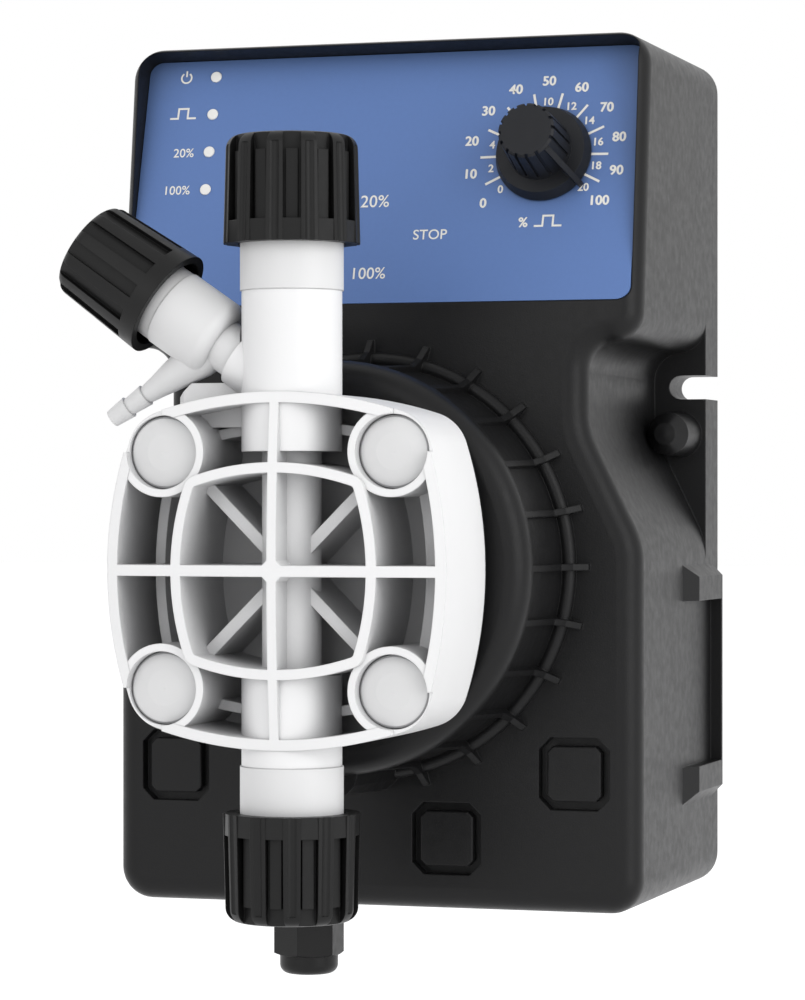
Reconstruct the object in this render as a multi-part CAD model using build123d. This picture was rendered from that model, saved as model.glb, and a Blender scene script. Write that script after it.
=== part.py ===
"""Wall-mounted diaphragm metering pump, driven by a solenoid.

Millimetres. X points right, Y points back into the wall, Z points up. The origin lies on the wall
face, midway between the two mounting slots. Sizes below are written from the underside of the case
(height 0) and from the wall (depth 0); everything is shifted to the origin as it is written out.
"""
from build123d import *
import os
from math import atan2, cos, degrees, radians, sin, sqrt, tan

# ---------------------------------------------------------------- case
case_width = 135.3
case_height = 215.0
case_depth = 85.9          # wall to the flat part of the front
case_corner = 8.0          # corners seen from the front
front_edge = 5.5           # rounded edge round the front
wall = 2.8
cover_depth = 6.2          # rear cover, wall face to the parting line
cover_sheet = 3.0          # thickness of the cover behind its hollow
flange_depth = 14.0        # full-width flange behind the waist
waist_width = 108.0        # across the case at its narrowest
panel_drop = 66.0          # top of the case down to the panel's lower edge
waist_drop = 9.4           # from there down to the shoulder over the waist
waist_shoulder_drop = 1.6  # the shoulder slopes down towards the waist
waist_length = 21.9        # shoulder down to where the waist starts to widen again
waist_flare = 27.9         # from there down to where it is full width again
shoulder_radius = 7.3
foot_radius = 20.0

# ---------------------------------------------------------------- wall fixing
slot_drop = 9.9            # the slots' axis below the shoulder
slot_width = 6.2
slot_spacing = 122.2       # between the centres of the two round ends

# ---------------------------------------------------------------- side lugs
lug_reach = 3.0
lug_front = 40.0           # depth of the lug's front end from the wall
lug_slant = 6.0            # its front end slopes back by this
lug_back = cover_depth + 1.1
lug_low_bottom = 23.3
lug_low_top = 32.7
lug_high_bottom = 74.8
lug_high_top = 83.9
lug_web = 1.2

# ---------------------------------------------------------------- tilted control panel
bezel_tilt = 7.0
bezel_lead = 6.3           # the front starts to lean back this far below the panel
bezel_blend = 40.0         # large radius between the upright and the leaning front
panel_tilt = 15.0
panel_width = 130.4
panel_height = 65.6
panel_corner = 3.5
panel_thickness = 1.5
panel_gap = 0.15

dial_x = 41.2
dial_up = 37.6             # along the panel, from its lower edge
light_x = -47.05
light_top = 61.2
light_pitch = 10.1
light_count = 4
light_radius = 1.5
selector_x = -22.5
selector_up = 17.2

# ---------------------------------------------------------------- solenoid boss
pump_drop = 64.8           # the pump axis below the panel's lower edge
boss_length = 35.6
boss_radius = 49.6         # front cap
boss_neck = 48.3           # just behind the cap
boss_foot = 49.5           # where it meets the case
boss_cap = 6.5
boss_edge = 5.4
bead_radius = 2.0
boss_rib_count = 24
boss_rib_width = 1.6
boss_rib_foot = 55.6
chin_half_width = 7.0
chin_drop = 55.0           # below the pump axis
chin_length = 31.0

# ---------------------------------------------------------------- front blanking plugs
plug_recess = 17.7
plug_head = 13.4
plug_chamfer = 2.95
plug_head_chamfer = 1.4
plug_depth = 3.2
plug_back = 5.2           # rear of the thicker wall behind a plug
plug_shank = 4.5
plug_flange = 3.0
plug_flange_lip = 1.2
plug_outer_x = 51.6
plug_outer_height = 34.0
plug_inner_x = 19.3
plug_inner_height = 17.5

# ---------------------------------------------------------------- cable gland
gland_x = -31.2
gland_depth = 43.0         # from the wall
gland_across_flats = 16.0
gland_turn = 30.0          # a corner of the hexagon points forward
gland_thread = 6.0
gland_hex = 7.0
gland_nut_length = 10.4
gland_dome = 4.8
gland_dome_radius = 7.55
gland_bore = 4.0
gland_inside = 9.5         # thread standing into the case

# ---------------------------------------------------------------- pump head
backplate = 4.5
backplate_inset = 1.0
head_width = 82.1
head_side_radius = 98.0
head_corner = 10.5
head_depth = 31.0
head_rim = 2.6
head_crown = 2.2           # how far the hub stands in front of the rim
head_floor = 4.5
ring_width = 49.7
ring_side_radius = 62.0
ring_corner = 3.4
ring_wall = 2.4
rib_vertical = 2.3
rib_level = 2.6
hub_radius = 2.75
diagonal_rib = 2.8
diagonal_depth = 22.5
land_inset = 6.65          # raised land that follows the rim, this far inside it
land_corner = 3.85
land_wall = 2.4
land_depth = 17.3
tube_radius = 6.9
port_offset = 18.9         # head's back face to the axis of the ports
pipe_radius = 11.65
pipe_top_reach = 64.55     # from the pump axis to the end of the discharge pipe
pipe_low_reach = 45.2
pipe_top_inner = 27.4      # where the pipe's wall starts inside the head
pipe_low_inner = 24.0
channel_radius = 2.8

screw_x = 27.8
screw_up = 27.2
screw_radius = 3.0
screw_head_radius = 5.0
screw_head_length = 6.0
pocket_bore = 8.55
pocket_wall = 1.8
pocket_floor = 8.0
pocket_depth = 30.6
pocket_relief = 1.8        # the corner of the rim is set back by this
cap_radius = 8.35
cap_depth = 28.0
cap_dome = 0.8
cap_skirt = 5.0

# ---------------------------------------------------------------- diaphragm and drive
diaphragm_radius = 33.0
diaphragm_rim = 2.4
diaphragm_web = 1.2
diaphragm_hub = 13.0
chamber_radius = 26.0
chamber_depth = 2.0
insert_radius = 12.5
insert_length = 4.0
throat_radius = 14.5
rod_radius = 4.0
rod_clear = 0.05
stroke = 1.25
solenoid_radius = 42.0
solenoid_length = 56.7
pole_plate = 8.0
yoke_wall = 3.0
yoke_back = 5.0
bobbin_wall = 1.5
bobbin_flange = 2.0
armature_radius = 12.5
armature_clear = 0.5
air_gap = 1.6              # ahead of the armature when it is at rest
bumper_radius = 8.0
bumper_length = 3.0
spring_wire = 1.2
spring_radius = 9.6
spring_turns = 3.0
spring_pocket = 11.6
spring_pocket_depth = 5.0
bushing_radius = 6.5

# ---------------------------------------------------------------- valves and hose nuts
shank_radius = 9.5
shank_length = 12.0
collar_radius = 12.0
collar_show = 10.8         # collar left bare between pipe and nut
collar_hidden = 2.5
thread_radius = 10.5
cartridge_length = 21.0    # above the pipe's end
ball_radius = 4.0
ball_lift = 1.5
ball_room = 0.6
seat_radius = 6.4
seat_length = 4.0
seat_bore = 2.5
flow_bore = 2.8
guide_room = 0.5           # round the ball
flute_radius = 1.1
flute_place = 3.6
seal_wire = 0.9
seal_place = 5.2           # below the pipe's end
nozzle_flange = 2.0
nozzle_radius = 9.4
nipple_radius = 3.9
nipple_tip = 3.0
nipple_length = 9.0
nipple_bore = 2.0
clamp_length = 9.0
clamp_bore = 6.1
nut_length = 25.1
nut_rim_radius = 15.95
nut_end_radius = 15.3
nut_round = 3.4
nut_band = 5.0
nut_rib_count = 12
nut_rib_width = 4.1
nut_pocket_floor = 13.4
nut_panel_radius = 14.3
nut_panel_width = 2.8
nut_panel_short = 4.2      # panel stops this far from the round end
nut_rib_turn = 19.4        # ribs stand either side of this direction
nut_groove = 1.5           # radius of the hollow along each rib
nut_groove_depth = 0.5
nut_band_relief = 0.4
nut_hole = 6.5
run = 0.3                  # room between pieces that move past each other

# ---------------------------------------------------------------- bleed valve
bleed_rise = 40.9          # its axis crosses the port axis this far over the pump axis
bleed_angle = 34.4
bleed_boss_radius = 7.2
bleed_boss_reach = 15.2
bleed_spigot_radius = 4.0
bleed_spigot_start = 9.0
bleed_neck_radius = 6.0
bleed_body_radius = 9.5
bleed_body_start = 19.6
bleed_body_end = 40.5
bleed_body_round = 3.0
bleed_step = 0.25
bleed_step_at = 35.5
bleed_male_radius = 8.2
bleed_male_end = 51.0
bleed_channel = 1.8
bleed_chamber = 3.6
bleed_seat_at = 24.0
knob_start = 37.3
knob_length = 24.4
knob_rim_radius = 13.15
knob_end_radius = 11.85
knob_round = 2.6
knob_mouth = 11.2
knob_mouth_depth = 5.2
knob_rib_count = 12
knob_pocket_width = 3.4
knob_pocket_depth = 1.15
knob_band = 4.2
barb_crossing = 21.2       # along the bleed axis, where the spout's axis crosses it
barb_angle = 32.9          # below level
barb_length = 32.3
barb_stem = 2.1
barb_crest = 2.65
barb_root = 4.95
barb_pitch = 5.0
barb_bore = 1.2
block_reach = 27.6         # to the left of the port axis
block_rise = 43.4          # its top over the pump axis
block_front = 20.2         # from the head's back face
block_back = 7.5
block_sink = 8.0           # it reaches this far down into the rim
block_corner = 1.2
block_relief = 4.6         # cut off the corner under the spout

# ---------------------------------------------------------------- speed knob and selector
skirt_radius = 12.1
skirt_top_radius = 11.1
skirt_height = 3.5
grip_radius = 8.0
grip_top_radius = 6.75
grip_height = 17.4
grip_grooves = 16
grip_groove_width = 0.8
grip_groove_depth = 0.6
pointer_width = 1.4
pointer_reach = 13.8
dial_sweep = 260.0
shaft_radius = 3.0
pot_radius = 8.2
pot_length = 7.0
board_gap = 0.3
board_width = 112.0
board_height = 52.0
board_thickness = 1.6
board_low = 6.0
board_standoff = 8.2
board_pillar = 3.2
board_pillar_x = 53.4
selector_width = 12.4
selector_length = 18.6
selector_rim = 1.3
selector_rim_height = 1.8
selector_body = 11.0
selector_pocket = 4.5
selector_wall = 1.4
rocker_pin = 1.2
rocker_half = 7.4
rocker_tip = 2.6
rocker_middle = 1.7
rocker_side = 1.6
rocker_depth = 3.4
rocker_keel = 3.2

# ---------------------------------------------------------------- screws of the rear cover
cover_screw_radius = 1.6
cover_screw_head = 3.1
cover_screw_sink = 2.6
cover_screw_length = 18.0
pillar_radius = 4.6
pillar_length = 20.0
corner_screw_inset = 7.0
boss_screw_x = 60.6
boss_screw_drop = 12.3     # below the slots
pocket_boss_radius = 6.0
pocket_boss_reach = 17.0

# ---------------------------------------------------------------- worked-out places
half_width = case_width / 2
panel_foot = case_height - panel_drop
bezel_start = panel_foot - bezel_lead
waist_top = panel_foot - waist_drop
waist_low = waist_top - waist_length
waist_foot = waist_low - waist_flare
slot_height = waist_top - slot_drop
boss_screw_height = slot_height - boss_screw_drop
pump_axis = panel_foot - pump_drop
bleed_height = pump_axis + bleed_rise
plug_places = [
    (-plug_outer_x, plug_outer_height),
    (plug_outer_x, plug_outer_height),
    (-plug_inner_x, plug_inner_height),
    (plug_inner_x, plug_inner_height),
]
front = -case_depth
boss_front = front - boss_length
head_back = boss_front - backplate
port_y = head_back - port_offset
bezel_front = front + (panel_foot - bezel_start) * tan(radians(bezel_tilt))
panel_plane = Plane(
    origin=(0, bezel_front, panel_foot),
    x_dir=(1, 0, 0),
    z_dir=(0, -cos(radians(panel_tilt)), sin(radians(panel_tilt))),
)
pole_front = boss_front + wall
pole_back = pole_front + pole_plate
armature_front = pole_back + air_gap
yoke_end = pole_front + solenoid_length
bumper_front = yoke_end - yoke_back - bumper_length
armature_back = bumper_front - run
diaphragm_back = head_back + diaphragm_rim
insert_back = diaphragm_back + insert_length
screw_places = [(x, z) for x in (-screw_x, screw_x) for z in (-screw_up, screw_up)]
corner_x = half_width - corner_screw_inset
cover_screw_places = [
    (-boss_screw_x, boss_screw_height),
    (boss_screw_x, boss_screw_height),
    (-corner_x, corner_screw_inset),
    (corner_x, corner_screw_inset),
    (-corner_x, case_height - corner_screw_inset),
    (corner_x, case_height - corner_screw_inset),
]
discharge_port = Plane(origin=(0, port_y, pump_axis + pipe_top_reach), x_dir=(1, 0, 0), z_dir=(0, 0, 1))
suction_port = Plane(origin=(0, port_y, pump_axis - pipe_low_reach), x_dir=(1, 0, 0), z_dir=(0, 0, -1))
bleed_frame = Plane(
    origin=(0, port_y, bleed_height),
    x_dir=(0, 1, 0),
    z_dir=(-cos(radians(bleed_angle)), 0, sin(radians(bleed_angle))),
)
light_places = [(light_x, light_top - i * light_pitch) for i in range(light_count)]


# ---------------------------------------------------------------- helpers
def facing(y, x=0.0, z=pump_axis):
    """Plane parallel to the wall, seen from the front: its normal points away from the wall."""
    return Plane(origin=(x, y, z), x_dir=(1, 0, 0), z_dir=(0, -1, 0))


def turned(*points):
    """Solid turned about Z from (radius, height) points."""
    return revolve(Plane.XZ * make_face(Polyline(*points, close=True)), Axis.Z)


def rod(radius, low, high):
    """Cylinder about Z between two heights."""
    return Pos(0, 0, low) * Cylinder(radius, high - low, align=(Align.CENTER, Align.CENTER, Align.MIN))


def slab(width, length, low, high):
    """Box about Z between two heights."""
    return Pos(0, 0, low) * Box(width, length, high - low, align=(Align.CENTER, Align.CENTER, Align.MIN))


def pillow(width, side_radius, corner, inset=0.0):
    """Square outline with four bulging sides and rounded corners; inset shrinks it evenly."""
    half = width / 2 - inset
    radius = side_radius - inset
    shift = half - radius
    c = (shift + sqrt(2 * radius ** 2 - shift ** 2)) / 2
    sides = ThreePointArc((c, -c), (half, 0), (c, c)) + ThreePointArc((c, c), (0, half), (-c, c))
    sides += ThreePointArc((-c, c), (-half, 0), (-c, -c)) + ThreePointArc((-c, -c), (0, -half), (c, -c))
    face = make_face(sides)
    return fillet(face.vertices(), corner - inset)


def cut_square(width, corner):
    """Square outline with cut-off corners."""
    return chamfer(Rectangle(width, width).vertices(), corner)


def half_space(plane, reach=400.0):
    """Everything in front of a plane."""
    return plane * Box(reach, reach, reach, align=(Align.CENTER, Align.CENTER, Align.MIN))


# ---------------------------------------------------------------- case
def waisted_outline():
    """Front view of the case: a rounded rectangle with a waist on both sides."""
    waist = waist_width / 2
    side = FilletPolyline(
        (0, 0),
        (half_width, 0),
        (half_width, waist_foot),
        (waist, waist_low),
        (waist, waist_top - waist_shoulder_drop),
        (half_width, waist_top),
        (half_width, case_height),
        (0, case_height),
        radius=[case_corner, foot_radius, foot_radius, shoulder_radius, shoulder_radius, case_corner],
    )
    right = make_face(side + Line((0, case_height), (0, 0)))
    return right + mirror(right, about=Plane.YZ)


def full_outline():
    """Front view of the flange and the rear cover."""
    return Pos(0, case_height / 2) * RectangleRounded(case_width, case_height, case_corner)


def panel_outline(grow=0.0):
    """Outline of the tilted panel, in the panel's own plane."""
    return Pos(0, panel_height / 2) * RectangleRounded(
        panel_width + 2 * grow, panel_height + 2 * grow, panel_corner + grow
    )


def leaning_profile():
    """Side view of the case: upright below, leaning back behind the control panel."""
    top = case_height + 10
    lean_back = front + (top - bezel_start) * tan(radians(bezel_tilt))
    edge = FilletPolyline((front, -10), (front, bezel_start), (lean_back, top), radius=bezel_blend)
    side = make_face(edge + Polyline((lean_back, top), (0, top), (0, -10), (front, -10)))
    return extrude(Plane.YZ * side, case_width, both=True)


def slot_cutters():
    """Side-open slots for the two wall screws."""
    centre = slot_spacing / 2
    reach = half_width - centre + lug_reach + 1
    opening = Circle(slot_width / 2) + Pos(reach / 2, 0) * Rectangle(reach, slot_width)
    right = facing(0, centre, slot_height) * extrude(opening, flange_depth + 1)
    right = Pos(0, 0.5, 0) * right
    return right + mirror(right, about=Plane.YZ)


def side_lugs():
    """Two lugs joined by a thin web, on the right side of the case."""
    plan = Polyline(
        (half_width - 1, -lug_front), (half_width, -lug_front),
        (half_width + lug_reach, -lug_front + lug_slant),
        (half_width + lug_reach, -lug_back), (half_width - 1, -lug_back), close=True,
    )
    plan_solid = extrude(make_face(plan), case_height)
    shape = None
    for inner, outer, sign in (
        (lug_high_bottom, lug_high_top, 1),
        (lug_low_top, lug_low_bottom, -1),
    ):
        view = Polyline(
            (half_width - 1, inner), (half_width + lug_reach, inner),
            (half_width + lug_reach, outer - sign * lug_reach), (half_width, outer),
            (half_width - 1, outer), close=True,
        )
        prism = Plane.XZ * extrude(make_face(view), case_depth)
        lug = plan_solid & prism
        shape = lug if shape is None else shape + lug
    web_height = lug_high_bottom - lug_low_top + 1
    web = Box(lug_reach + 1, lug_web, web_height, align=(Align.MIN, Align.MAX, Align.MIN))
    shape += Pos(half_width - 1, -lug_back, lug_low_top - 0.5) * web
    return shape


def boss_solid():
    """Outside of the round boss that holds the solenoid, with its ribs, bead and chin."""
    body = turned(
        (0, -1), (boss_foot, -1), (boss_foot, 0), (boss_neck, boss_length - boss_cap),
        (boss_radius, boss_length - boss_cap), (boss_radius, boss_length), (0, boss_length),
    )
    body = fillet(body.edges().filter_by(GeomType.CIRCLE).group_by(Axis.Z)[-1], boss_edge)
    bead_centre = boss_foot + 1.0
    bead = Pos(0, 0, 1.2) * Torus(bead_centre, bead_radius)
    fin = Polyline(
        (boss_neck - 3, -0.5), (boss_rib_foot, -0.5), (boss_rib_foot, 1.0), (bead_centre + bead_radius, 4.2),
        (boss_foot + 1.1, 8.0), (boss_radius, boss_length - boss_cap + 0.5),
        (boss_neck - 3, boss_length - boss_cap + 0.5), close=True,
    )
    rib = Plane.XZ * extrude(make_face(fin), boss_rib_width / 2, both=True)
    ribs = [Rot(0, 0, i * 360 / boss_rib_count) * rib for i in range(boss_rib_count)]
    chin_view = make_face(Polyline(
        (-chin_half_width - 1.6, -boss_neck + 3), (-chin_half_width, -boss_foot - 1.5),
        (-chin_half_width + 0.4, -chin_drop + 2.6), (-chin_half_width + 3.0, -chin_drop),
        (chin_half_width - 3.0, -chin_drop), (chin_half_width - 0.4, -chin_drop + 2.6),
        (chin_half_width, -boss_foot - 1.5), (chin_half_width + 1.6, -boss_neck + 3), close=True,
    ))
    chin = Pos(0, 0, -0.5) * extrude(chin_view, chin_length, taper=1.8)
    keep = turned((0, -5), (boss_rib_foot + 20, -5), (boss_rib_foot + 20, chin_length - 3),
                  (boss_radius + 1.0, boss_length), (0, boss_length))
    clear = rod(boss_neck - 4, -5, boss_length + 5)
    return facing(front) * (body + bead + [r - clear for r in ribs] + ((chin & keep) - clear))


def front_housing():
    """Moulded front shell of the case, open at the back."""
    depth = case_depth - cover_depth
    shell = facing(-cover_depth, 0, 0) * extrude(waisted_outline(), depth)
    shell &= leaning_profile()
    front_faces = shell.faces().filter_by(lambda f: f.normal_at().Y < -0.9)
    rim_edges = [
        e for f in front_faces for e in f.edges()
        if abs(e.center().X) > 1 or abs(e.center().Z - bezel_start) > 10
    ]
    shell = fillet(rim_edges, front_edge)
    shell += facing(-cover_depth, 0, 0) * extrude(full_outline(), flange_depth - cover_depth)

    # bulges in the waist that hold the two upper case screws
    bulge = turned((0, 0), (pocket_boss_radius, 0), (pocket_boss_radius - 0.6, pocket_boss_reach - 3.5),
                   (pocket_boss_radius - 3.2, pocket_boss_reach), (0, pocket_boss_reach + 0.4))
    for side in (-1, 1):
        shell += facing(-flange_depth + 1, side * boss_screw_x, boss_screw_height) * bulge

    # hollow
    inside = offset(waisted_outline(), -wall)
    hollow = facing(-cover_depth + 1, 0, 0) * extrude(inside, depth + 1 - wall)
    recess_floor = Plane(panel_plane.location * Location((0, 0, -panel_thickness)))
    hollow -= half_space(Plane(recess_floor.location * Location((0, 0, -wall))))
    shell -= hollow
    shell += boss_solid()
    shell -= facing(front + wall + 1) * rod(boss_neck - wall, 0, boss_length + 1)
    shell -= facing(boss_front + wall + 1) * rod(throat_radius, 0, 3 * wall)
    for x, z in screw_places:
        shell -= facing(boss_front + wall + 1) * Pos(x, z) * rod(screw_radius + 0.2, 0, 3 * wall)

    # panel recess, with everything in front of it cleared away
    shell -= recess_floor * extrude(panel_outline(panel_gap), 30)
    for x, up in light_places:
        shell -= panel_plane * Pos(x, up) * rod(light_radius, -12, 1)
    shell -= panel_plane * Pos(dial_x, dial_up) * rod(shaft_radius + run, -12, 1)
    window = slab(selector_width + 0.2, selector_length + 0.2, -12, 1)
    shell -= panel_plane * Pos(selector_x, selector_up) * window

    # recesses of the blanking plugs
    for x, z in plug_places:
        place = facing(front, x, z)
        pad = extrude(cut_square(plug_recess + 2 * wall, plug_chamfer + wall), plug_back - wall + 0.5)
        shell += place * Pos(0, 0, -plug_back) * pad
        recess = extrude(cut_square(plug_recess, plug_chamfer), plug_depth + 1)
        shell -= place * Pos(0, 0, -plug_depth) * recess
        shell -= place * rod(plug_shank + 0.1, -2 * wall, 1)

    # side lugs, wall slots, gland hole
    lugs = side_lugs()
    shell += lugs + mirror(lugs, about=Plane.YZ)
    shell -= slot_cutters()
    shell -= Pos(gland_x, -gland_depth) * rod(gland_thread + 0.1, -1, 2 * wall)

    # pillars for the cover screws and for the circuit board
    pillar = facing(-cover_depth) * Pos(0, -pump_axis) * rod(pillar_radius, 0, pillar_length)
    blind = facing(-cover_depth) * Pos(0, -pump_axis) * rod(cover_screw_radius, -1, cover_screw_length)
    for x, z in cover_screw_places[2:]:
        shell += Pos(x, 0, z) * pillar
    for x, z in cover_screw_places:
        shell -= Pos(x, 0, z) * blind
    post_top = -panel_thickness - wall
    for x in (-board_pillar_x, board_pillar_x):
        for up in (board_low + 5, board_low + board_height - 5):
            shell += panel_plane * Pos(x, up) * rod(board_pillar, post_top - board_standoff, post_top + 0.5)
            shell -= panel_plane * Pos(x, up) * rod(1.0, post_top - board_standoff - 1, post_top - 2)
    return shell


def rear_cover():
    """Flat back of the case. It lies against the wall."""
    cover = facing(0, 0, 0) * extrude(full_outline(), cover_depth)
    hollow = facing(-cover_sheet, 0, 0) * extrude(offset(waisted_outline(), -wall - 2.2), cover_depth)
    for x, z in cover_screw_places:
        hollow -= facing(0, x, z) * rod(pillar_radius + 1.0, 0, cover_depth + 1)
    cover -= hollow
    groove = offset(waisted_outline(), -wall + 0.3) - offset(waisted_outline(), -wall - 1.2)
    cover -= facing(-cover_depth + 1.4, 0, 0) * extrude(groove, 2)
    cover -= slot_cutters()
    for x, z in cover_screw_places:
        cover -= facing(1, x, z) * rod(cover_screw_radius + 0.2, 0, cover_depth + 2)
        cover -= facing(1, x, z) * rod(cover_screw_head + 0.2, 0, 1 + cover_screw_sink)
    return cover


def case_seal():
    """Rubber seal in the cover's groove."""
    ring = offset(waisted_outline(), -wall + 0.25) - offset(waisted_outline(), -wall - 1.15)
    return facing(-cover_depth + 1.4, 0, 0) * extrude(ring, 1.4)


def cover_screws():
    """Six screws that hold the rear cover on."""
    screw = rod(cover_screw_head, 0, cover_screw_sink - 0.4) - rod(0.9, -1, 1.2)
    screw += rod(cover_screw_radius - 0.05, 1, cover_screw_length)
    return Compound([facing(-0.4, x, z) * screw for x, z in cover_screw_places])


# ---------------------------------------------------------------- panel
def control_panel():
    """Flat front panel with openings for the lights, the dial shaft and the selector."""
    panel = Pos(0, 0, -panel_thickness) * extrude(panel_outline(), panel_thickness)
    for x, up in light_places:
        panel -= Pos(x, up) * rod(light_radius, -5, 5)
    panel -= Pos(dial_x, dial_up) * rod(shaft_radius + run, -5, 5)
    panel -= Pos(selector_x, selector_up) * slab(selector_width + 0.2, selector_length + 0.2, -5, 5)
    return panel_plane * panel


def board_face():
    """Distance from the panel's face back to the face of the circuit board."""
    return -panel_thickness - wall - board_standoff


def indicator_lights():
    """Four lights, from the circuit board to the panel's face."""
    light = rod(light_radius - 0.05, board_face(), 0.35)
    light = fillet(light.edges().group_by(Axis.Z)[-1], 0.3)
    return Compound([panel_plane * Pos(x, up) * light for x, up in light_places])


def circuit_board():
    """Driver board on four posts behind the panel."""
    board = Pos(0, board_low + board_height / 2) * slab(
        board_width, board_height, board_face() - board_thickness, board_face()
    )
    for x in (-board_pillar_x, board_pillar_x):
        for up in (board_low + 5, board_low + board_height - 5):
            board -= Pos(x, up) * rod(1.3, board_face() - 5, board_face() + 5)
    board -= Pos(selector_x, selector_up) * slab(
        selector_width + 1, selector_length + 1, board_face() - 5, board_face() + 5
    )
    return panel_plane * board


def board_screws():
    """Four small screws that hold the board on its posts."""
    back = board_face() - board_thickness
    screw = rod(2.4, back - 1.6, back) + rod(0.95, back - 0.5, back + 7)
    return Compound([
        panel_plane * Pos(x, up) * screw
        for x in (-board_pillar_x, board_pillar_x)
        for up in (board_low + 5, board_low + board_height - 5)
    ])


def speed_potentiometer():
    """Body of the potentiometer, between the board and the panel's wall."""
    body = rod(pot_radius, board_face(), board_face() + pot_length)
    body += slab(9.0, 2 * pot_radius + 3, board_face(), board_face() + 1.2)
    body -= rod(shaft_radius + rod_clear, board_face() + 2, board_face() + pot_length + 1)
    return panel_plane * Pos(dial_x, dial_up) * body


def potentiometer_shaft():
    """Shaft that the knob turns."""
    shaft = rod(shaft_radius, board_face() + 2 + run, skirt_height + 7.0)
    return panel_plane * Pos(dial_x, dial_up) * shaft


def speed_knob():
    """Fluted dial knob with a skirt and a raised pointer."""
    base = 0.4
    knob = turned(
        (0, base), (skirt_radius, base), (skirt_radius, base + 0.6), (skirt_top_radius, base + skirt_height),
        (grip_radius, base + skirt_height), (grip_top_radius + 0.25, grip_height - 0.5),
        (grip_top_radius - 0.3, grip_height), (0, grip_height),
    )
    rise = grip_height - skirt_height - base
    lean = (grip_radius - grip_top_radius) / rise
    groove = Plane.XZ * extrude(make_face(Polyline(
        (grip_radius - grip_groove_depth, base + skirt_height + 1.2),
        (grip_radius + 2, base + skirt_height + 1.2),
        (grip_radius + 2, grip_height + 1),
        (grip_radius - grip_groove_depth - lean * rise, grip_height + 1), close=True,
    )), grip_groove_width / 2, both=True)
    pointer_turn = -dial_sweep / 2
    knob -= [
        Rot(0, 0, pointer_turn + 90 + i * 360 / grip_grooves) * groove for i in range(1, grip_grooves)
    ]
    pointer = Plane.XZ * extrude(make_face(Polyline(
        (grip_top_radius - 2, base + 1.0), (pointer_reach, base + 1.0), (pointer_reach, base + 2.6),
        (grip_top_radius + 0.7, grip_height - 0.6), (grip_top_radius - 2, grip_height - 0.6), close=True,
    )), pointer_width / 2, both=True)
    knob += Rot(0, 0, pointer_turn + 90) * pointer
    knob -= rod(shaft_radius + 0.05, base - 1, skirt_height + 7.0)
    return panel_plane * Pos(dial_x, dial_up) * knob


def selector_frame():
    """Frame and body of the three-position selector switch."""
    body = slab(selector_width, selector_length, -selector_body, 0.5)
    rim = 2 * selector_rim
    body += slab(selector_width + rim, selector_length + rim, 0, selector_rim_height)
    pocket_w = selector_width - 2 * selector_wall
    pocket_l = selector_length - 2 * selector_wall + 1.6
    body -= slab(pocket_w, pocket_l, -selector_pocket, selector_rim_height + 1)
    body -= Rot(0, 90, 0) * Cylinder(rocker_pin + 0.06, selector_width - 1.0)
    return panel_plane * Pos(selector_x, selector_up) * body


def selector_rocker():
    """Rocker of the selector, level in its middle position."""
    width = selector_width - 2 * selector_wall - 2 * run
    shape = extrude(Plane.YZ * make_face(Polyline(
        (-rocker_half, -rocker_side), (-rocker_keel, -rocker_depth),
        (rocker_keel, -rocker_depth), (rocker_half, -rocker_side),
        (rocker_half, rocker_tip), (0, rocker_middle), (-rocker_half, rocker_tip), close=True,
    )), width / 2, both=True)
    shape += Rot(0, 90, 0) * Cylinder(rocker_pin, selector_width - 1.4)
    return panel_plane * Pos(selector_x, selector_up) * shape


def blanking_plugs():
    """Four square plugs in the front, flush with it."""
    head = extrude(cut_square(plug_head, plug_head_chamfer), plug_depth)
    head = chamfer(head.edges().group_by(Axis.Z)[-1], 0.25)
    plug = Pos(0, 0, -plug_depth) * head + rod(plug_shank, -plug_back - plug_flange, -plug_depth)
    plug += rod(plug_shank + plug_flange_lip, -plug_back - plug_flange, -plug_back)
    return Compound([facing(front, x, z) * plug for x, z in plug_places])


# ---------------------------------------------------------------- gland
def hexagon(across_flats, low, high):
    """Hexagonal bar about Z."""
    return Pos(0, 0, low) * extrude(RegularPolygon(across_flats / 2, 6, major_radius=False), high - low)


def gland_place(shape):
    """Put a gland part under the case; its local Z points down, from the underside."""
    under = Plane(origin=(gland_x, -gland_depth, 0), x_dir=(1, 0, 0), z_dir=(0, 0, -1))
    return under * Rot(0, 0, gland_turn) * shape


def gland_body():
    """Body of the cable gland, screwed through the underside."""
    body = hexagon(gland_across_flats, 0, gland_hex) + rod(gland_thread, -gland_inside, 0.5)
    body += rod(gland_thread + 0.4, gland_hex - 0.5, gland_hex + 5.5)
    body -= rod(gland_bore + 0.4, -gland_inside - 1, gland_hex + 3)
    body -= turned(
        (0, gland_hex + 2.9), (gland_bore + 0.4, gland_hex + 2.9),
        (gland_bore + 1.2, gland_hex + 6), (0, gland_hex + 6),
    )
    return gland_place(body)


def gland_locknut():
    """Thin nut inside the case."""
    nut = hexagon(gland_across_flats, wall, wall + 3.5) - rod(gland_thread, 0, wall + 6)
    return Plane(origin=(gland_x, -gland_depth, 0)) * nut


def gland_nut():
    """Cap nut that squeezes the seal onto a cable."""
    low = gland_hex + run
    high = low + gland_nut_length
    nut = hexagon(gland_across_flats, low, high)
    nut &= turned((0, low), (gland_across_flats, low), (gland_across_flats, high - 3.2),
                  (gland_dome_radius + 0.2, high), (0, high))
    dome = rod(gland_dome_radius, high - 1, high + gland_dome)
    dome = fillet(dome.edges().group_by(Axis.Z)[-1], 2.4)
    nut += dome
    nut -= rod(gland_thread + 0.5, low - 1, high + gland_dome - 2.6)
    nut -= rod(gland_bore + 0.5, low, high + gland_dome + 1)
    return gland_place(nut)


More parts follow.
